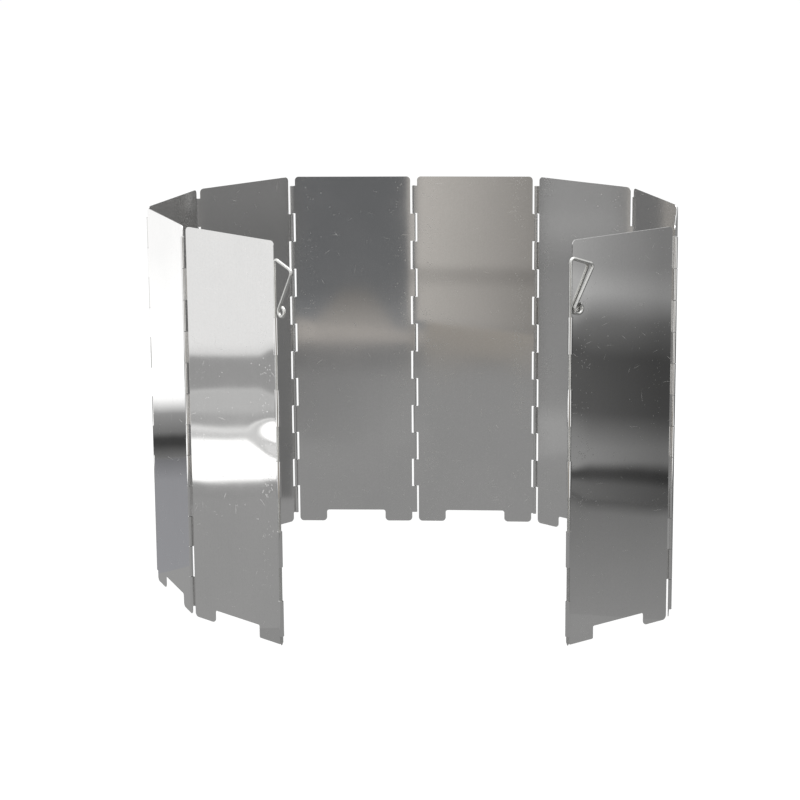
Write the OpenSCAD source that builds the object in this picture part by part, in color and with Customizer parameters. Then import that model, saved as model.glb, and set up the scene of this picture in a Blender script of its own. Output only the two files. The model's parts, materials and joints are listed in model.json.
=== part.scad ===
// Folding stove windscreen: ten hinged aluminium plates and two wire ground pegs, in millimetres.
// It stands on z = 0 as a C that opens towards -Y. Plates run clockwise from the left free edge.

/* [Plates] */
// height of every plate
plate_height = 240; // [150:1:320]
// distance from one hinge axis to the next
hinge_pitch = 82.4; // [60:0.1:110]
// thickness of the aluminium sheet
sheet = 0.5; // [0.3:0.05:1]
// radius of the outer plate corners and of the feet beside a hinge
corner_r = 2.6; // [1:0.1:5]
// radius round the foot beside a free edge
free_foot_r = 0.8; // [0.4:0.1:3]
// width of the air notch between a plate's two feet
notch_width = 40.6; // [20:0.1:60]
// height of the air notch
notch_height = 7.8; // [4:0.1:20]
// radius inside the air notch, beside a foot that meets a hinge
notch_r = 1.6; // [0.5:0.1:3]

/* [Hinges] */
// diameter of a hinge pin
pin_d = 1.2; // [1:0.05:2]
// clearance all round a hinge pin
pin_play = 0.05; // [0.02:0.01:0.1]
// setback of a pin's ends from the ends of its hinge
pin_setback = 0.4; // [0.2:0.1:1]
// chamfer on a pin's ends
pin_chamfer = 0.2; // [0.1:0.05:0.4]
// knuckles in one hinge, counting both plates
knuckle_count = 12; // [6:2:20]
// height of one knuckle with its share of the gaps
knuckle_length = 19; // [10:0.5:30]
// gap between two neighbouring knuckles
knuckle_gap = 0.4; // [0.2:0.05:1]
// flat plate edge to hinge axis
edge_gap = 2.3; // [2:0.05:4]
// angle at which the rolled sheet stops short of its own plate
roll_end = 28; // [10:1:32]

/* [Free edges] */
// diameter of the peg wire
wire_d = 2; // [1.4:0.1:2.5]
// clearance all round the peg wire
wire_play = 0.05; // [0.02:0.01:0.1]
// knuckles on a free edge
stub_count = 5; // [2:1:6]
// height of one free knuckle
stub_length = 21.4; // [10:0.1:30]
// spacing of the free knuckles
stub_pitch = 42.2; // [25:0.1:60]
// height of the lowest free knuckle above the ground
stub_start = 6; // [3:0.1:15]
// flat plate edge to peg axis
free_gap = 2.2; // [2:0.05:4]

/* [Ground pegs] */
// height of the peg's tip above the ground when it is drawn up
peg_tip = 0.4; // [0:0.1:5]
// length of the peg's point
point_length = 2; // [1:0.1:6]
// diameter of the point's blunt end
point_d = 0.6; // [0.3:0.1:1.2]
// height of the corner where the wire bends over
peg_top = 230.5; // [200:0.5:300]
// reach of the handle from the shank, to the middle of its outermost wire
leg_reach = 15.6; // [8:0.1:30]
// fall of the top leg over that reach
leg_drop = 5.2; // [0:0.1:12]
// bend radius of the wire's middle line
bend_r = 2.1; // [1.5:0.1:4]
// distance of the curled eye from the shank
eye_reach = 5.8; // [5:0.1:10]
// height of the curled eye's centre
eye_height = 200.4; // [150:0.1:280]
// radius of the curled eye's middle line
eye_r = 2.8; // [2:0.1:3.5]
// how far round the eye is curled
eye_turn = 280; // [180:5:285]
// angle of the left handle off the line of plate 1, outwards
left_turn = 5; // [0:1:60]
// angle of the right handle off the plate that it lies over
right_lift = 4; // [3:1:90]

/* [Standing shape] */
// heading of plate 1, from its free edge to hinge 1
first_heading = 133.9; // [90:0.1:180]
// inward turn at hinge 1
turn_1 = 24.3; // [0:0.1:60]
// inward turn at hinge 2
turn_2 = 36.3; // [0:0.1:60]
// inward turn at hinge 3
turn_3 = 29.6; // [0:0.1:60]
// inward turn at hinge 4
turn_4 = 44.6; // [0:0.1:60]
// inward turn at hinge 5
turn_5 = 4.2; // [0:0.1:60]
// inward turn at hinge 6
turn_6 = 37.7; // [0:0.1:60]
// inward turn at hinge 7
turn_7 = 34.3; // [0:0.1:60]
// inward turn at hinge 8
turn_8 = 19.2; // [0:0.1:60]
// inward turn at hinge 9
turn_9 = 45.8; // [0:0.1:60]

/* [Hidden] */
$fn = 48;

// Barrel radii, and how far each row of barrels lies off the sheet's middle.
knuckle_r = pin_d / 2 + pin_play + sheet;
stub_r = wire_d / 2 + wire_play + sheet;
knuckle_side = knuckle_r - sheet / 2;
stub_side = stub_r - sheet / 2;
hinge_start = (plate_height - knuckle_count * knuckle_length) / 2;

// Even hinges carry their barrels inside the C, odd hinges and the free edges outside it.
turns = [turn_1, turn_2, turn_3, turn_4, turn_5, turn_6, turn_7, turn_8, turn_9];
function heading(n) = n == 1 ? first_heading : heading(n - 1) - turns[n - 2];
function run(n) = hinge_pitch * [cos(heading(n)), sin(heading(n))];
function chain(n) = n == 0 ? [0, 0] : chain(n - 1) + run(n);
function is_free(n) = n == 0 || n == 10;
function side(n) = is_free(n) ? -stub_side : (n % 2 == 1 ? -knuckle_side : knuckle_side);
function length_on_sheet(n) = sqrt(pow(hinge_pitch, 2) - pow(side(n) - side(n - 1), 2));
function tilt(n) = asin((side(n) - side(n - 1)) / hinge_pitch);
function gap_at(n) = is_free(n) ? free_gap : edge_gap;
function foot_r_at(n) = is_free(n) ? free_foot_r : corner_r;
function notch_r_at(n) = is_free(n) ? free_foot_r : notch_r;

// The peg wire in its own plane: reach from the shank, then height. The diagonal is the straight line
// that touches the outer bend and the eye, which curl opposite ways.
leg_slope = atan(leg_drop / leg_reach);
leg_way = [cos(leg_slope), -sin(leg_slope)];
top_turn = 90 + leg_slope;
top_cut = bend_r * tan(top_turn / 2);
top_mid = [bend_r, peg_top - top_cut];
far_x = leg_reach - bend_r;
far_mid = [far_x, peg_top - far_x * tan(leg_slope) - bend_r / cos(leg_slope)];
eye_mid = [eye_reach, eye_height];
to_eye = eye_mid - far_mid;
eye_angle = atan2(to_eye[1], to_eye[0]);
back_angle = (eye_angle > 90 ? eye_angle - 360 : eye_angle) - asin((bend_r + eye_r) / norm(to_eye));
back_way = [cos(back_angle), sin(back_angle)];
far_turn = -leg_slope - back_angle;
far_in = far_mid + bend_r * [-leg_way[1], leg_way[0]];
far_out = far_mid + bend_r * [-back_way[1], back_way[0]];
eye_in = eye_mid + eye_r * [back_way[1], -back_way[0]];

// How far joined forms and straight wire lap into each other, and how much a bend swells.
lap = 0.5;
wire_lap = 0.15;
bend_swell = 0.04;

// The middle of the box around everything, which is put over the origin.
front_y = chain(0)[1] + leg_reach * sin(first_heading + 180 - left_turn) - (wire_d + bend_swell) / 2;
back_y = chain(4)[1] + knuckle_r;
middle = [(chain(2)[0] + chain(8)[0]) / 2, (front_y + back_y) / 2];
function axis_at(n) = chain(n) - middle;

// A flat rectangle from one corner, with rounded corners at its top or at its bottom.
module rounded_top(w, h, r) {
    square([w, h - r]);
    translate([r, h - r - lap]) square([w - 2 * r, r + lap]);
    translate([r, h - r]) circle(r);
    translate([w - r, h - r]) circle(r);
}

module foot(w, h, r) {
    translate([0, r]) square([w, h - r]);
    translate([r, 0]) square([w - 2 * r, r + lap]);
    translate([r, r]) circle(r);
    translate([w - r, r]) circle(r);
}

// The rounding inside a notch corner: way is 1 for its left corner and -1 for its right one.
module notch_corner(way, r) {
    difference() {
        translate([way > 0 ? -lap : -r, -r]) square([r + lap, r + lap]);
        translate([way * r, -r]) circle(r);
    }
}

// The flat blank of plate n: u along the sheet from its first hinge axis, v upwards.
module blank(n) {
    w = length_on_sheet(n) - gap_at(n - 1) - gap_at(n);
    foot_w = (w - notch_width) / 2;
    translate([gap_at(n - 1), 0]) {
        translate([0, notch_height]) rounded_top(w, plate_height - notch_height, corner_r);
        foot(foot_w, notch_height + 2 * lap, foot_r_at(n - 1));
        translate([w - foot_w, 0]) foot(foot_w, notch_height + 2 * lap, foot_r_at(n));
        translate([foot_w, notch_height]) notch_corner(1, notch_r_at(n - 1));
        translate([w - foot_w, notch_height]) notch_corner(-1, notch_r_at(n));
    }
}

// Outline of a rolled knuckle round its axis. The plate lies towards way on u, its sheet towards up on w.
module roll_outline(r, gap, way, up) {
    wedge = [[0, 0], 2 * r * [way * cos(roll_end), up * sin(roll_end)], 2 * r * [way, up], [0, up * 2 * r]];
    difference() {
        circle(r);
        circle(r - sheet);
        polygon(way * up > 0 ? wedge : [wedge[3], wedge[2], wedge[1], wedge[0]]);
    }
    translate([way > 0 ? 0 : -gap - 2 * lap, up > 0 ? r - sheet : -r]) square([gap + 2 * lap, sheet]);
}

// One row of knuckles on a plate's edge at axis n: first and step pick every second one of a hinge.
module hinge_row(n, way, first) {
    for (k = [first : 2 : knuckle_count - 1])
        translate([0, 0, hinge_start + k * knuckle_length + knuckle_gap / 2])
            linear_extrude(height = knuckle_length - knuckle_gap)
                roll_outline(knuckle_r, edge_gap, way, sign(side(n)));
}

module free_row(way) {
    for (k = [0 : stub_count - 1])
        translate([0, 0, stub_start + k * stub_pitch])
            linear_extrude(height = stub_length) roll_outline(stub_r, free_gap, way, -1);
}

// Plate n with both rows of knuckles, in place.
module plate(n) {
    translate(axis_at(n - 1)) rotate(heading(n) + tilt(n)) translate([0, side(n - 1), 0]) {
        rotate([90, 0, 0]) linear_extrude(height = sheet, center = true) blank(n);
        translate([0, -side(n - 1), 0])
            if (n == 1) free_row(1);
            else hinge_row(n - 1, 1, 1);
        translate([length_on_sheet(n), -side(n), 0])
            if (n == 10) free_row(-1);
            else hinge_row(n, -1, 0);
    }
}

module hinge_pin(n) {
    long = knuckle_count * knuckle_length - 2 * pin_setback;
    end_d = pin_d - 2 * pin_chamfer;
    translate(concat(axis_at(n), [hinge_start + pin_setback])) {
        translate([0, 0, pin_chamfer]) cylinder(d = pin_d, h = long - 2 * pin_chamfer);
        cylinder(d1 = end_d, d2 = pin_d, h = pin_chamfer);
        translate([0, 0, long - pin_chamfer]) cylinder(d1 = pin_d, d2 = end_d, h = pin_chamfer);
    }
}

// A straight stretch of wire from one point of its plane to another, lapped into the bends at its ends.
module stretch(a, b) {
    translate(a) rotate(atan2(b[1] - a[1], b[0] - a[0])) rotate([0, 90, 0])
        translate([0, 0, -wire_lap]) cylinder(d = wire_d, h = norm(b - a) + 2 * wire_lap);
}

// A bend round a middle point, swollen a little as bent wire is.
module bend(mid, r, from, sweep) {
    translate(mid) rotate(from) rotate_extrude(angle = sweep)
        translate([r, 0]) circle(d = wire_d + bend_swell);
}

// The peg: point, shank, top leg, diagonal and eye, standing in the X and Z plane on its axis.
module peg() {
    rotate([90, 0, 0]) {
        stretch([0, peg_tip + point_length + wire_lap], [0, top_mid[1]]);
        bend(top_mid, bend_r, 180 - top_turn, top_turn);
        stretch([0, peg_top] + top_cut * leg_way, far_in);
        bend(far_mid, bend_r, back_angle + 90, far_turn);
        stretch(far_out, eye_in);
        bend(eye_mid, eye_r, back_angle - 90, eye_turn);
    }
    translate([0, 0, peg_tip]) cylinder(d1 = point_d, d2 = wire_d, h = point_length);
}

module plate_1() { color("#b4b4b2") plate(1); }
module plate_2() { color("#c4c4c2") plate(2); }
module plate_3() { color("#6a6a68") plate(3); }
module plate_4() { color("#858583") plate(4); }
module plate_5() { color("#82817e") plate(5); }
module plate_6() { color("#8b8a86") plate(6); }
module plate_7() { color("#7c7c7a") plate(7); }
module plate_8() { color("#6a6a68") plate(8); }
module plate_9() { color("#c4c4c2") plate(9); }
module plate_10() { color("#8a8a88") plate(10); }
module hinge_pin_1() { color("#77787a") hinge_pin(1); }
module hinge_pin_2() { color("#77787a") hinge_pin(2); }
module hinge_pin_3() { color("#77787a") hinge_pin(3); }
module hinge_pin_4() { color("#77787a") hinge_pin(4); }
module hinge_pin_5() { color("#77787a") hinge_pin(5); }
module hinge_pin_6() { color("#77787a") hinge_pin(6); }
module hinge_pin_7() { color("#77787a") hinge_pin(7); }
module hinge_pin_8() { color("#77787a") hinge_pin(8); }
module hinge_pin_9() { color("#77787a") hinge_pin(9); }

// The left handle points on past plate 1, the right one lies back over plate 10.
module ground_peg_left() {
    color("#9a9b9d") translate(axis_at(0)) rotate(heading(1) + 180 - left_turn) peg();
}

module ground_peg_right() {
    color("#9a9b9d") translate(axis_at(10)) rotate(heading(10) + 180 - right_lift) peg();
}

plate_1();
plate_2();
plate_3();
plate_4();
plate_5();
plate_6();
plate_7();
plate_8();
plate_9();
plate_10();
hinge_pin_1();
hinge_pin_2();
hinge_pin_3();
hinge_pin_4();
hinge_pin_5();
hinge_pin_6();
hinge_pin_7();
hinge_pin_8();
hinge_pin_9();
ground_peg_left();
ground_peg_right();
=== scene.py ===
import json
import math

import bpy
import numpy as np
from mathutils import Matrix, Vector

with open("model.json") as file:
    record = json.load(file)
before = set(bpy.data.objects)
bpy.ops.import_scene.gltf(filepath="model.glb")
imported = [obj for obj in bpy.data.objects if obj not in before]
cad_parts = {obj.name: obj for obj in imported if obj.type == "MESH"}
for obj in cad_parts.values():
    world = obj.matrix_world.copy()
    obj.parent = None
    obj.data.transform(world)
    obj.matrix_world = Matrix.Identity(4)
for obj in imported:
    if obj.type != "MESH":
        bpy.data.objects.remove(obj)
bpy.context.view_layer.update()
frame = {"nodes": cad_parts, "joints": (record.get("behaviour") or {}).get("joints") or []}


# The ten plates.
# Half-millimetre mill-finish aluminium, blanked with rounded corners and an air notch between
# two feet, with the hinge knuckles rolled from the sheet's own tongues on both upright edges.

MM = 0.001
PLATE_COUNT = 10
FOLD_HINGE = 5


def linear(code):
    """The linear RGBA colour of an sRGB hex value such as "9a9b9c"."""
    srgb = np.array([int(code[i:i + 2], 16) for i in (0, 2, 4)]) / 255
    rgb = np.where(srgb <= 0.04045, srgb / 12.92, ((srgb + 0.055) / 1.055) ** 2.4)
    return (*rgb.tolist(), 1.0)


def add(tree, kind, sockets, **settings):
    """Adds one shader node with its settings, fills its sockets with values or with other nodes' outputs,
    and gives its own outputs."""
    made = tree.nodes.new("ShaderNode" + kind)
    for name, value in settings.items():
        setattr(made, name, value)
    for key, value in sockets.items():
        if isinstance(value, bpy.types.NodeSocket):
            tree.links.new(value, made.inputs[key])
        else:
            made.inputs[key].default_value = value
    return made.outputs


def new_material(name):
    """A node material with nothing in it yet, and its node tree."""
    material = bpy.data.materials.new(name)
    material.use_nodes = True
    material.node_tree.nodes.clear()
    return material, material.node_tree


def give_finish(node, material):
    """Makes a material the only one on a node."""
    node.data.materials.clear()
    node.data.materials.append(material)


def per_metre(size_mm):
    """The pattern scale that repeats about once in that many millimetres."""
    return 1 / (size_mm * MM)


def upright_axes():
    """The axes that the plates run between: left peg, hinges 1 to 9, right peg."""
    at = {joint["name"]: Vector(joint["pos_m"]) for joint in frame["joints"]}
    hinges = [at["fold" if n == FOLD_HINGE else f"hinge_{n}"] for n in range(1, PLATE_COUNT)]
    return [at["ground_peg_left_slide"], *hinges, at["ground_peg_right_slide"]]


AXES = upright_axes()

# How an upright edge was worked, in millimetres: the flat edge's distance from its axis, the height of
# the lowest tongue's middle, the spacing of the tongues, and how far rolling them drew the sheet. The
# drawn sheet settles over the next 16 mm.
FREE_EDGE = (2.2, 16.7, 42.2, 0.07)
FIRST_HINGE_EDGE = (2.3, 34.5, 38.0, 0.015)
LAST_HINGE_EDGE = (2.3, 15.5, 38.0, 0.015)
DRAWN_WIDTH = 16


def upright_edges(number):
    """A plate's two upright edges: each one's place along the plate from its first axis, the way into the
    plate from there, and how it was worked."""
    span = (AXES[number] - AXES[number - 1]).length
    first = FREE_EDGE if number == 1 else FIRST_HINGE_EDGE
    last = FREE_EDGE if number == PLATE_COUNT else LAST_HINGE_EDGE
    return (first[0] * MM, 1, first[1:]), (span - last[0] * MM, -1, last[1:])


# A knock between two free knuckles has pushed plate 1's edge in: its place along and up the plate, how
# far it reaches both ways, and its depth, in millimetres.
EDGE_DENT = (3.0, 123.0, 27.0, 14.0, 0.27)
# The sheet's own slow waves: how long and how high they are, in millimetres.
SHEET_WAVE = (70, 0.25)


def sheet_height(tree, number, local, shifted, u, z):
    """The plate's unevenness as a height in millimetres: slow waves, a cosine by the tongue along each
    upright edge that fades out into the plate, and on plate 1 the dent, a smooth round hollow."""
    wave_length, wave_height = SHEET_WAVE
    wave = add(tree, "TexNoise", {"Vector": shifted, "Scale": per_metre(wave_length), "Detail": 1.0})
    height = add(tree, "Math", {0: wave["Fac"], 1: wave_height}, operation="MULTIPLY")["Value"]
    for edge, inward, (lowest, pitch, drawn) in upright_edges(number):
        settled = edge + inward * DRAWN_WIDTH * MM
        near = add(tree, "MapRange", {"Value": u, "From Min": edge, "From Max": settled, "To Min": 1.0,
                                      "To Max": 0.0}, interpolation_type="SMOOTHSTEP")
        turns = 2 * math.pi / (pitch * MM)
        phase = add(tree, "Math", {0: z, 1: turns, 2: -turns * lowest * MM}, operation="MULTIPLY_ADD")
        swell = add(tree, "Math", {0: phase["Value"]}, operation="COSINE")
        wavy = add(tree, "Math", {0: near["Result"], 1: swell["Value"]}, operation="MULTIPLY")
        height = add(tree, "Math", {0: wavy["Value"], 1: drawn, 2: height}, operation="MULTIPLY_ADD")["Value"]
    if number == 1:
        along, up, reach, rise, depth = EDGE_DENT
        knock = add(tree, "Mapping", {"Vector": local, "Location": (along * MM, 0, up * MM),
                                      "Scale": (reach * MM, 1.0, rise * MM)}, vector_type="TEXTURE")
        away = add(tree, "VectorMath", {0: knock["Vector"]}, operation="LENGTH")
        dent = add(tree, "MapRange", {"Value": away["Value"], "To Min": -depth, "To Max": 0.0},
                   interpolation_type="SMOOTHSTEP")
        height = add(tree, "Math", {0: height, 1: dent["Result"]}, operation="ADD")["Value"]
    return height


# The column that the next plate's knuckles rub in the folded stack, in millimetres: its middle's distance
# from the edge, and how far from its middle the rubbing is still full and where it ends.
RUB_MIDDLE, RUB_FULL, RUB_END = 9, 2, 6


def rubbed_share(tree, number, u):
    """How much a point is rubbed: 1 in a narrow column beside each upright edge, and 0 a little away."""
    rubbed = 0.0
    for edge, inward, _ in upright_edges(number):
        off = add(tree, "Math", {0: u, 1: edge + inward * RUB_MIDDLE * MM}, operation="SUBTRACT")
        away = add(tree, "Math", {0: off["Value"]}, operation="ABSOLUTE")
        column = add(tree, "MapRange", {"Value": away["Value"], "From Min": RUB_END * MM,
                                        "From Max": RUB_FULL * MM})
        rubbed = add(tree, "Math", {0: rubbed, 1: column["Result"]}, operation="MAXIMUM")["Value"]
    return rubbed


# The scratches of handling by set: slant in degrees, length in millimetres, and the share left out. Then
# their spacing, the bend that keeps them from being ruler-straight and the length it takes, in
# millimetres, where a stroke's core and edge are as shares of the spacing, and how plain it is.
SCRATCHES = ((-3, 55, 0.975), (4, 24, 0.94), (-16, 16, 0.95), (38, 13, 0.96), (-62, 12, 0.96), (84, 20, 0.97))
SCRATCH_SPACING, SCRATCH_BEND, BEND_LENGTH = 1.0, 3.0, 22
SCRATCH_CORE, SCRATCH_EDGE, SCRATCH_STRENGTH = 0.06, 0.22, 0.7
# The rubbed specks: their spacing and their clusters' size in millimetres, the noise levels at which a cluster
# starts and is full, where a speck's core and edge are as shares of the spacing, how plain it is, and the
# share left out on clean and on rubbed metal.
SPECK_SPACING, SPECK_CLUSTER = 1.3, 16
CLUSTER_START, CLUSTER_FULL = 0.42, 0.68
SPECK_CORE, SPECK_EDGE, SPECK_STRENGTH = 0.2, 0.42, 0.45
SPECKS_OUT_CLEAN, SPECKS_OUT_RUBBED = 0.994, 0.66


def handling_marks(tree, shifted, rubbed):
    """Scratches and rubbed specks, from 0 to 1. A set of scratches is cells stretched along its slant, where
    a stroke is a cell's middle and only a few cells keep theirs. Specks are the middles of round cells, in
    clusters where the plate is rubbed and strewn thinly elsewhere."""
    bend = add(tree, "TexNoise", {"Vector": shifted, "Scale": per_metre(BEND_LENGTH), "Detail": 1.0})
    bent = add(tree, "VectorMath", {0: bend["Color"], 1: (SCRATCH_BEND * MM, 0.0, SCRATCH_BEND * MM),
                                    2: shifted}, operation="MULTIPLY_ADD")
    strokes = 0.0
    for slant, length, left_out in SCRATCHES:
        turned = add(tree, "VectorRotate", {"Vector": bent["Vector"], "Angle": math.radians(slant)},
                     rotation_type="Y_AXIS")
        cells = add(tree, "Mapping", {"Vector": turned["Vector"],
                                      "Scale": (per_metre(length), 0.0, per_metre(SCRATCH_SPACING))})
        cell = add(tree, "TexVoronoi", {"Vector": cells["Vector"], "Scale": 1.0}, feature="F1")
        middle = add(tree, "MapRange", {"Value": cell["Distance"], "From Min": SCRATCH_EDGE,
                                        "From Max": SCRATCH_CORE})
        draw = add(tree, "SeparateColor", {"Color": cell["Color"]})
        kept = add(tree, "MapRange", {"Value": draw["Red"], "From Min": left_out,
                                      "From Max": (1 + left_out) / 2})
        stroke = add(tree, "Math", {0: middle["Result"], 1: kept["Result"]}, operation="MULTIPLY")
        strokes = add(tree, "Math", {0: strokes, 1: stroke["Value"]}, operation="MAXIMUM")["Value"]

    dot = add(tree, "TexVoronoi", {"Vector": shifted, "Scale": per_metre(SPECK_SPACING)}, feature="F1")
    spot = add(tree, "MapRange", {"Value": dot["Distance"], "From Min": SPECK_EDGE, "From Max": SPECK_CORE})
    draw = add(tree, "SeparateColor", {"Color": dot["Color"]})
    cluster = add(tree, "TexNoise", {"Vector": shifted, "Scale": per_metre(SPECK_CLUSTER), "Detail": 1.0})
    thick = add(tree, "MapRange", {"Value": cluster["Fac"], "From Min": CLUSTER_START,
                                   "From Max": CLUSTER_FULL})
    share = add(tree, "Math", {0: thick["Result"], 1: rubbed}, operation="MULTIPLY")
    left_out = add(tree, "MapRange", {"Value": share["Value"], "To Min": SPECKS_OUT_CLEAN,
                                      "To Max": SPECKS_OUT_RUBBED})
    kept = add(tree, "Math", {0: draw["Green"], 1: left_out["Result"]}, operation="GREATER_THAN")
    specks = add(tree, "Math", {0: spot["Result"], 1: kept["Value"]}, operation="MULTIPLY")

    faint = add(tree, "Math", {0: specks["Value"], 1: SPECK_STRENGTH}, operation="MULTIPLY")
    worn = add(tree, "Math", {0: strokes, 1: SCRATCH_STRENGTH}, operation="MULTIPLY")
    return add(tree, "Math", {0: worn["Value"], 1: faint["Value"]}, operation="MAXIMUM")["Value"]


# Roughness of the side that met the roll and of the satin side, and what a mark adds to it.
ROLL_SIDE, SATIN_SIDE, MARK_ROUGHNESS = 0.06, 0.13, 0.5


def rolled_aluminium(number):
    """Mill-finish aluminium sheet, cold rolled two at a time, so the side that met the roll is nearly a
    mirror and the other is satin. It has faint grain along the rolling direction, a slow waviness that
    bends reflections, edges drawn wavy where the knuckles were rolled, and the bright scratches and
    rubbed specks of handling. u runs along the plate from its first axis and z up it."""
    material, tree = new_material(f"rolled_aluminium_plate_{number}")
    start, end = AXES[number - 1], AXES[number]
    heading = math.atan2(end.y - start.y, end.x - start.x)
    place = add(tree, "TexCoord", {})
    local = add(tree, "Mapping", {"Vector": place["Object"], "Location": start, "Rotation": (0, 0, heading)},
                vector_type="TEXTURE")["Vector"]
    split = add(tree, "SeparateXYZ", {"Vector": local})
    u, z = split["X"], split["Z"]
    # Each plate is cut from another stretch of the coil, so its patterns start elsewhere.
    stretch = (0.31 * number, 0.17 * number, 0.53 * number)
    shifted = add(tree, "VectorMath", {0: local, 1: stretch}, operation="ADD")["Vector"]

    # Rolling grain: lines 0.5 mm apart and about 90 mm long, coarser than the real 0.1 mm to show.
    lines = add(tree, "Mapping", {"Vector": shifted, "Scale": (per_metre(0.5), per_metre(20), per_metre(90))})
    grain = add(tree, "TexNoise", {"Vector": lines["Vector"], "Scale": 1.0, "Detail": 3.0,
                                   "Roughness": 0.6})["Fac"]
    # Cloudy tone: rolling oil and handling leave patches about 45 mm across, and a mottle of 1.5 mm.
    cloud = add(tree, "TexNoise", {"Vector": shifted, "Scale": per_metre(45), "Detail": 4.0,
                                   "Roughness": 0.55})["Fac"]
    mottle = add(tree, "TexNoise", {"Vector": shifted, "Scale": per_metre(1.5), "Detail": 2.0})["Fac"]
    marks = handling_marks(tree, shifted, rubbed_share(tree, number, u))

    tone = add(tree, "Mix", {"Factor": cloud, "A": linear("e0e0df"), "B": linear("ebeae9")}, data_type="RGBA")
    streak = add(tree, "MapRange", {"Value": grain, "To Min": 0.98, "To Max": 1.02})
    blotch = add(tree, "MapRange", {"Value": mottle, "From Min": 0.3, "From Max": 0.7, "To Min": 0.985,
                                    "To Max": 1.015})
    shade = add(tree, "Math", {0: streak["Result"], 1: blotch["Result"]}, operation="MULTIPLY")
    grained = add(tree, "VectorMath", {0: tone["Result"], "Scale": shade["Value"]}, operation="SCALE")
    colour = add(tree, "Mix", {"Factor": marks, "A": grained["Vector"], "B": linear("f6f5f3")},
                 data_type="RGBA")

    # The side that met the roll is outside the C, and the satin side is inside it.
    outward = (-math.sin(heading), math.cos(heading), 0)
    facing = add(tree, "VectorMath", {0: place["Normal"], 1: outward}, operation="DOT_PRODUCT")
    satin = add(tree, "MapRange", {"Value": facing["Value"], "From Min": 0.1, "From Max": -0.1,
                                   "To Min": ROLL_SIDE, "To Max": SATIN_SIDE})
    hazy = add(tree, "MapRange", {"Value": cloud, "From Min": 0.3, "From Max": 0.7, "To Min": 0.8,
                                  "To Max": 1.25})
    clean = add(tree, "Math", {0: satin["Result"], 1: hazy["Result"]}, operation="MULTIPLY")
    rough = add(tree, "Math", {0: marks, 1: MARK_ROUGHNESS, 2: clean["Value"]}, operation="MULTIPLY_ADD")

    height = sheet_height(tree, number, local, shifted, u, z)
    slow = add(tree, "Bump", {"Height": height, "Strength": 1.0, "Distance": 1 * MM})
    fine = add(tree, "Bump", {"Height": grain, "Strength": 0.04, "Distance": 0.02 * MM,
                              "Normal": slow["Normal"]})
    metal = add(tree, "BsdfPrincipled", {"Base Color": colour["Result"], "Metallic": 1.0,
                                         "Roughness": rough["Value"], "Normal": fine["Normal"]})
    add(tree, "OutputMaterial", {"Surface": metal["BSDF"]})
    return material


for number in range(1, PLATE_COUNT + 1):
    give_finish(frame["nodes"][f"plate_{number}"], rolled_aluminium(number))


# The nine hinge pins and the two ground pegs.
# Drawn steel wire: a straight pin fills each hinge's knuckles, and each free edge holds a peg bent
# from a heavier wire, with a triangular handle and a curled eye at the top.


def drawn_steel(name, pale, dark, roughness):
    """Bright drawn steel wire. The die leaves faint lines along the wire, 0.3 mm apart to show, and a tone
    that varies by the centimetre."""
    material, tree = new_material(name)
    place = add(tree, "TexCoord", {})["Object"]
    lines = add(tree, "Mapping", {"Vector": place, "Scale": (per_metre(0.3), per_metre(0.3), per_metre(25))})
    die = add(tree, "TexNoise", {"Vector": lines["Vector"], "Scale": 1.0, "Detail": 2.0})["Fac"]
    patch = add(tree, "TexNoise", {"Vector": place, "Scale": per_metre(12), "Detail": 2.0})["Fac"]
    both = add(tree, "Math", {0: die, 1: patch}, operation="MULTIPLY")
    tone = add(tree, "MapRange", {"Value": both["Value"], "From Min": 0.1, "From Max": 0.45})
    colour = add(tree, "Mix", {"Factor": tone["Result"], "A": linear(dark), "B": linear(pale)},
                 data_type="RGBA")
    rough = add(tree, "MapRange", {"Value": patch, "To Min": roughness, "To Max": roughness + 0.12})
    ridge = add(tree, "Bump", {"Height": die, "Strength": 0.08, "Distance": 0.02 * MM})
    metal = add(tree, "BsdfPrincipled", {"Base Color": colour["Result"], "Metallic": 1.0,
                                         "Roughness": rough["Result"], "Normal": ridge["Normal"]})
    add(tree, "OutputMaterial", {"Surface": metal["BSDF"]})
    return material


PIN_STEEL = drawn_steel("drawn_steel_pin", "a9aaab", "7c7d7f", 0.25)
PEG_STEEL = drawn_steel("drawn_steel_peg", "e6e6e3", "c2c2c0", 0.16)
for number in range(1, PLATE_COUNT):
    give_finish(frame["nodes"][f"hinge_pin_{number}"], PIN_STEEL)
for side in ("left", "right"):
    give_finish(frame["nodes"][f"ground_peg_{side}"], PEG_STEEL)


# The studio.
# A matt white paper floor runs into a white surround, and one soft box hangs overhead. The camera
# and the metal see both as plain white, while they light the screen more dimly.


def link(made):
    """Puts an object into the scene."""
    bpy.context.collection.objects.link(made)


def seen_white(tree):
    """1 for the rays that show the white surround itself: camera, mirror-like and see-through ones."""
    path = add(tree, "LightPath", {})
    first = add(tree, "Math", {0: path["Is Camera Ray"], 1: path["Is Glossy Ray"]}, operation="MAXIMUM")
    every = add(tree, "Math", {0: first["Value"], 1: path["Is Transmission Ray"]}, operation="MAXIMUM")
    return every["Value"]


# How brightly the paper glows, and the share of what is seen of it that does.
PAPER_GLOW, GLOWING_SHARE = 1.08, 0.85


def white_paper():
    """Matt paper that glows white for the rays that show it, apart from the share that keeps a shadow."""
    material, tree = new_material("white_paper")
    matt = add(tree, "BsdfDiffuse", {"Color": linear("f2f2f2")})
    glow = add(tree, "Emission", {"Color": linear("ffffff"), "Strength": PAPER_GLOW})
    share = add(tree, "Math", {0: seen_white(tree), 1: GLOWING_SHARE}, operation="MULTIPLY")
    mixed = add(tree, "MixShader", {0: share["Value"], 1: matt["BSDF"], 2: glow["Emission"]})
    add(tree, "OutputMaterial", {"Surface": mixed["Shader"]})
    return material


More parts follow.
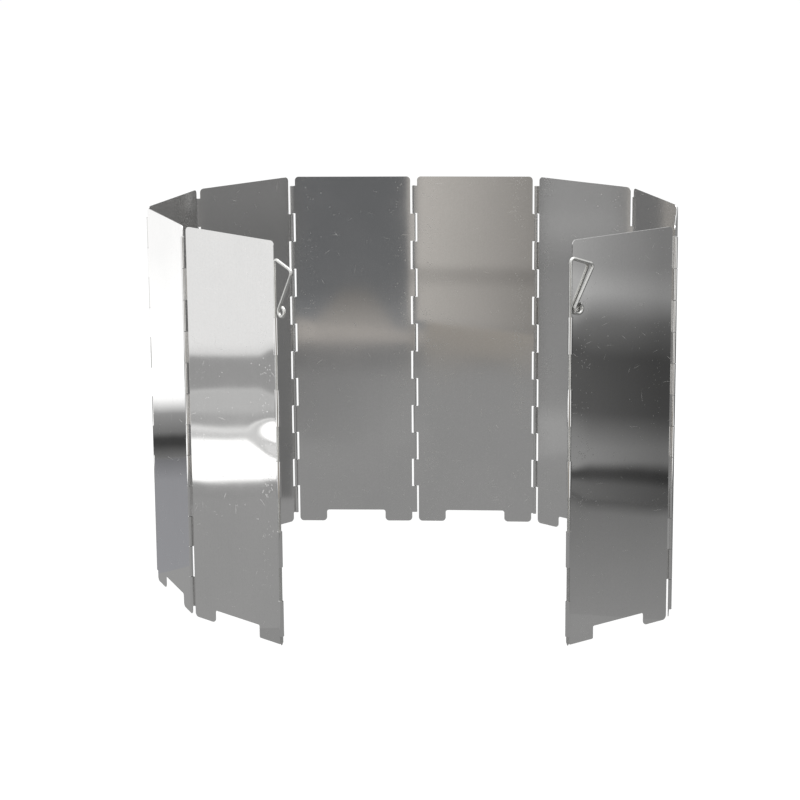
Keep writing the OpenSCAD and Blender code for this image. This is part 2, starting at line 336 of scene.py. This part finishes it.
FLOOR_HALF = 10.0
floor_mesh = bpy.data.meshes.new("floor")
floor_mesh.from_pydata([(x * FLOOR_HALF, y * FLOOR_HALF, 0) for x, y in ((-1, -1), (1, -1), (1, 1), (-1, 1))],
                       [], [(0, 1, 2, 3)])
floor_mesh.materials.append(white_paper())
floor = bpy.data.objects.new("floor", floor_mesh)
floor.location.z = -0.2 * MM
link(floor)

# The surround's brightness as it lights the screen and as it is seen.
SURROUND_LIGHT, SURROUND_SEEN = 0.7, 1.0
world = bpy.data.worlds.new("studio")
bpy.context.scene.world = world
world.use_nodes = True
tree = world.node_tree
tree.nodes.clear()
dim = add(tree, "Background", {"Color": linear("ffffff"), "Strength": SURROUND_LIGHT})
white = add(tree, "Background", {"Color": linear("ffffff"), "Strength": SURROUND_SEEN})
mixed = add(tree, "MixShader", {0: seen_white(tree), 1: dim["Background"], 2: white["Background"]})
add(tree, "OutputWorld", {"Surface": mixed["Shader"]})

BOX_PLACE = Vector((0, -0.2, 1.6))
lamp = bpy.data.lights.new("overhead_box", "AREA")
lamp.shape = "RECTANGLE"
lamp.size = lamp.size_y = 1.6
lamp.energy = 26
overhead_box = bpy.data.objects.new("overhead_box", lamp)
overhead_box.location = BOX_PLACE
overhead_box.rotation_euler = (-BOX_PLACE).to_track_quat("-Z", "Y").to_euler()
link(overhead_box)


# Cards round the screen and inside it, in place of those stood about bright metal to give it something to
# reflect.
# Only reflections show them. They are not lit but glow at set levels, so their bands are painted light and
# shade for the metal to reflect. Glowing grey sheets lie on the floor, and the cards that stand there are
# banded by height. All their sizes are in millimetres.


def card(name, corners, bands, tint="ffffff", across=(1.0, 1.0), one_sided=False):
    """A four-cornered card that glows, though it is no lamp. Its brightness goes by height through
    (height, brightness) bands and is multiplied by a share that runs evenly from its first corner to its
    second, as painted light and shade for reflections to show. The back of a one-sided card lets everything
    through."""
    mesh = bpy.data.meshes.new(name)
    mesh.from_pydata([tuple(MM * value for value in corner) for corner in corners], [], [(0, 1, 2, 3)])
    made = bpy.data.objects.new(name, mesh)
    link(made)
    material, tree = new_material(name + "_face")
    lowest, highest = bands[0][0], bands[-1][0]
    most = max(level for _, level in bands)
    place = add(tree, "TexCoord", {})["Object"]
    height = add(tree, "SeparateXYZ", {"Vector": place})["Z"]
    rise = add(tree, "MapRange", {"Value": height, "From Min": lowest * MM, "From Max": highest * MM})
    ramp = add(tree, "ValToRGB", {"Fac": rise["Result"]})["Color"]
    stops = ramp.node.color_ramp.elements
    while len(stops) < len(bands):
        stops.new(1.0)
    for stop, (band, level) in zip(stops, bands):
        stop.position = (band - lowest) / (highest - lowest)
        stop.color = (*[channel * level / most for channel in linear(tint)[:3]], 1.0)
    first, second = (MM * Vector((*corner[:2], 0)) for corner in corners[:2])
    way = (second - first) / (second - first).length_squared
    along = add(tree, "VectorMath", {0: place, 1: way}, operation="DOT_PRODUCT")
    fade = add(tree, "MapRange", {"Value": along["Value"], "From Min": first.dot(way),
                                  "From Max": second.dot(way), "To Min": most * across[0],
                                  "To Max": most * across[1]})
    shown = add(tree, "Emission", {"Color": ramp, "Strength": fade["Result"]})["Emission"]
    if one_sided:
        behind = add(tree, "NewGeometry", {})["Backfacing"]
        clear = add(tree, "BsdfTransparent", {})["BSDF"]
        shown = add(tree, "MixShader", {0: behind, 1: shown, 2: clear})["Shader"]
    add(tree, "OutputMaterial", {"Surface": shown})
    mesh.materials.append(material)
    made.visible_camera = made.visible_diffuse = made.visible_shadow = False


def standing_card(name, from_xy, to_xy, bands, **look):
    """A card that stands on the floor between two points and is as high as its last band."""
    top = bands[-1][0]
    card(name, [(*from_xy, 0), (*to_xy, 0), (*to_xy, top), (*from_xy, top)], bands, **look)


def lying_card(name, plan, level, layer=0, **look):
    """A card of one brightness that lies flat with its corners at four points. Each layer of cards lies
    a hundredth of a millimetre above the one before, and all lie just below the feet."""
    z = -0.1 + 0.01 * layer
    card(name, [(*point, z) for point in plan], [(-1, level), (1, level)], **look)


# The table: a glowing grey sheet under the screen, its front edge as a strip of painted shade and one of
# painted light, and what lies before and behind it.
lying_card("table_sheet", [(-900, -380), (900, -380), (900, 1200), (-900, 1200)], 0.32)
lying_card("table_edge_shade", [(-260, -420), (140, -420), (140, -380), (-260, -380)], 0.23)
lying_card("table_edge_light", [(-260, -600), (140, -600), (140, -420), (-260, -420)], 0.37, tint="fff6ea")
lying_card("front_floor", [(-300, -860), (300, -860), (300, -600), (-300, -600)], 0.30, tint="fff8ee")
standing_card("front_card", (-300, -860), (300, -860), [(0, 0.30), (300, 0.28)], tint="fff8ee")
lying_card("back_floor", [(-900, 142), (-900, 900), (900, 900), (900, 142)], 0.36, layer=1, across=(1.3, 0.6))

# At the left, plate 1 shows the banded card and the floor before it, and plate 2 those farther back.
lying_card("left_floor", [(-440, -210), (-110, -210), (-110, 15), (-440, 15)], 0.36, layer=5)
standing_card("left_banded_card", (-410, -330), (-410, 60),
              [(0, 0.34), (11, 0.35), (14, 1.6), (43, 1.6), (45, 0.66), (48, 0.66), (50, 0.95), (52, 0.95),
               (54, 0.44), (60, 0.46), (64, 0.58), (77, 0.58), (79, 0.68), (81, 0.38), (103, 0.37),
               (105, 0.82), (112, 0.94), (300, 1.0)])
lying_card("left_far_floor", [(-560, 110), (-522, 57), (-274, 237), (-312, 290)], 0.32, layer=2,
           tint="f8f9ff", across=(0.66, 1.06))
lying_card("left_near_floor", [(-522, 57), (-365, -157), (-117, 23), (-274, 237)], 0.32, layer=2,
           tint="f8f9ff", across=(1.06, 1.13))
standing_card("left_back_card", (-560, 110), (-312, 290),
              [(0, 0.20), (11, 0.055), (16, 0.055), (21, 0.20), (35, 0.33), (46, 1.2), (54, 1.4), (160, 1.15),
               (300, 1.1)])
standing_card("left_edge_card", (-312, 290), (-100, 444), [(0, 0.24), (300, 0.30)])

# At the right, plate 10 shows one row of banded cards that darkens towards the back.
RIGHT_BANDS = [(0, 0.13), (12, 0.13), (18, 0.055), (23, 0.055), (30, 0.24), (40, 0.23), (65, 0.09),
               (105, 0.08), (130, 0.17), (150, 0.39), (156, 0.39), (170, 0.31), (300, 0.33)]
standing_card("right_front_card", (410, -400), (410, -232), RIGHT_BANDS, across=(1.68, 1.68))
standing_card("right_banded_card", (410, -232), (410, -132), RIGHT_BANDS, across=(1.68, 0.76))
standing_card("right_back_card", (410, -132), (410, 100), RIGHT_BANDS, across=(0.76, 0.76))
standing_card("right_edge_card", (410, 100), (150, 470), [(0, 0.22), (300, 0.26)])
lying_card("right_far_floor", [(410, -400), (376, -400), (376, 140), (410, 140)], 0.21, layer=5,
           across=(0.42, 1.0))
lying_card("right_near_floor", [(376, -400), (150, -400), (150, 140), (376, 140)], 0.21, layer=5,
           across=(1.0, 1.4))

# Inside, plate 5 shows the dark, warm, glow and low cards, plate 6 the light one, plate 7 the left one,
# plate 4 the right one and plate 8 the corner one. The last three would stand in the way of others, so
# they are one-sided.
card("inner_dark_card", [(-100, -30, 92), (-12, -30, 92), (2, -30, 250), (-100, -30, 250)],
     [(92, 0.28), (106, 0.27), (129, 0.175), (180, 0.16), (250, 0.15)], tint="f8fbff")
card("inner_warm_card", [(-100, -29, 92), (-12, -29, 91), (-12, -29, 100), (-100, -29, 109)],
     [(90, 0.50), (103, 0.50), (109, 0.40)], tint="fff8f1", across=(1.0, 0.92))
card("inner_glow_card", [(-86, -28, 104), (-24, -28, 103), (-44, -28, 131), (-64, -28, 131)],
     [(103, 0.37), (112, 0.33), (122, 0.25), (131, 0.19)], tint="fffaf4")
card("inner_low_card", [(-100, -30, 14), (-12, -30, 14), (-12, -30, 92), (-100, -30, 92)],
     [(14, 0.28), (67, 0.245), (73, 0.195), (92, 0.195)], across=(1.0, 1.24))
card("inner_light_card", [(-7, 60, 126), (80, 60, 116), (80, 60, 262), (-7, 60, 262)],
     [(112, 0.46), (127, 0.52), (150, 0.52), (156, 0.43), (162, 0.43), (167, 0.57), (262, 0.57)],
     tint="fffaf4", across=(1.0, 0.55))
standing_card("inner_left_card", (-105, 50), (-105, 116),
              [(0, 0.41), (27, 0.43), (43, 0.32), (133, 0.305), (147, 0.28), (178, 0.41), (193, 0.36),
               (262, 0.34)], across=(0.84, 1.0), one_sided=True)
standing_card("inner_right_card", (-20, 138), (-20, 72),
              [(0, 0.17), (190, 0.185), (220, 0.215), (262, 0.22)], one_sided=True)
standing_card("inner_corner_card", (83, 130), (142.5, 75.5), [(0, 0.18), (262, 0.18)], one_sided=True)


# The camera.
# It stands where the photograph was taken from, in front and above, with a long lens that looks a
# little down and the slight roll of the photograph's frame.

CAMERA_PLACE = Vector((-7.94, -1520.7, 464.7)) * MM
CAMERA_PITCH = math.radians(12.85)
CAMERA_ROLL = math.radians(-0.43)
FOCAL_PIXELS, FRAME_PIXELS = 2482.3, 800
SENSOR_WIDTH = 36
lens = bpy.data.cameras.new("camera")
lens.sensor_fit = "HORIZONTAL"
lens.sensor_width = SENSOR_WIDTH
lens.lens = SENSOR_WIDTH * FOCAL_PIXELS / FRAME_PIXELS
lens.clip_start, lens.clip_end = 0.01, 50
camera = bpy.data.objects.new("camera", lens)
link(camera)
camera.matrix_world = (Matrix.Translation(CAMERA_PLACE)
                       @ Matrix.Rotation(math.pi / 2 - CAMERA_PITCH, 4, "X")
                       @ Matrix.Rotation(CAMERA_ROLL, 4, "Z"))
bpy.context.scene.camera = camera
bpy.context.scene.view_settings.view_transform = "Standard"
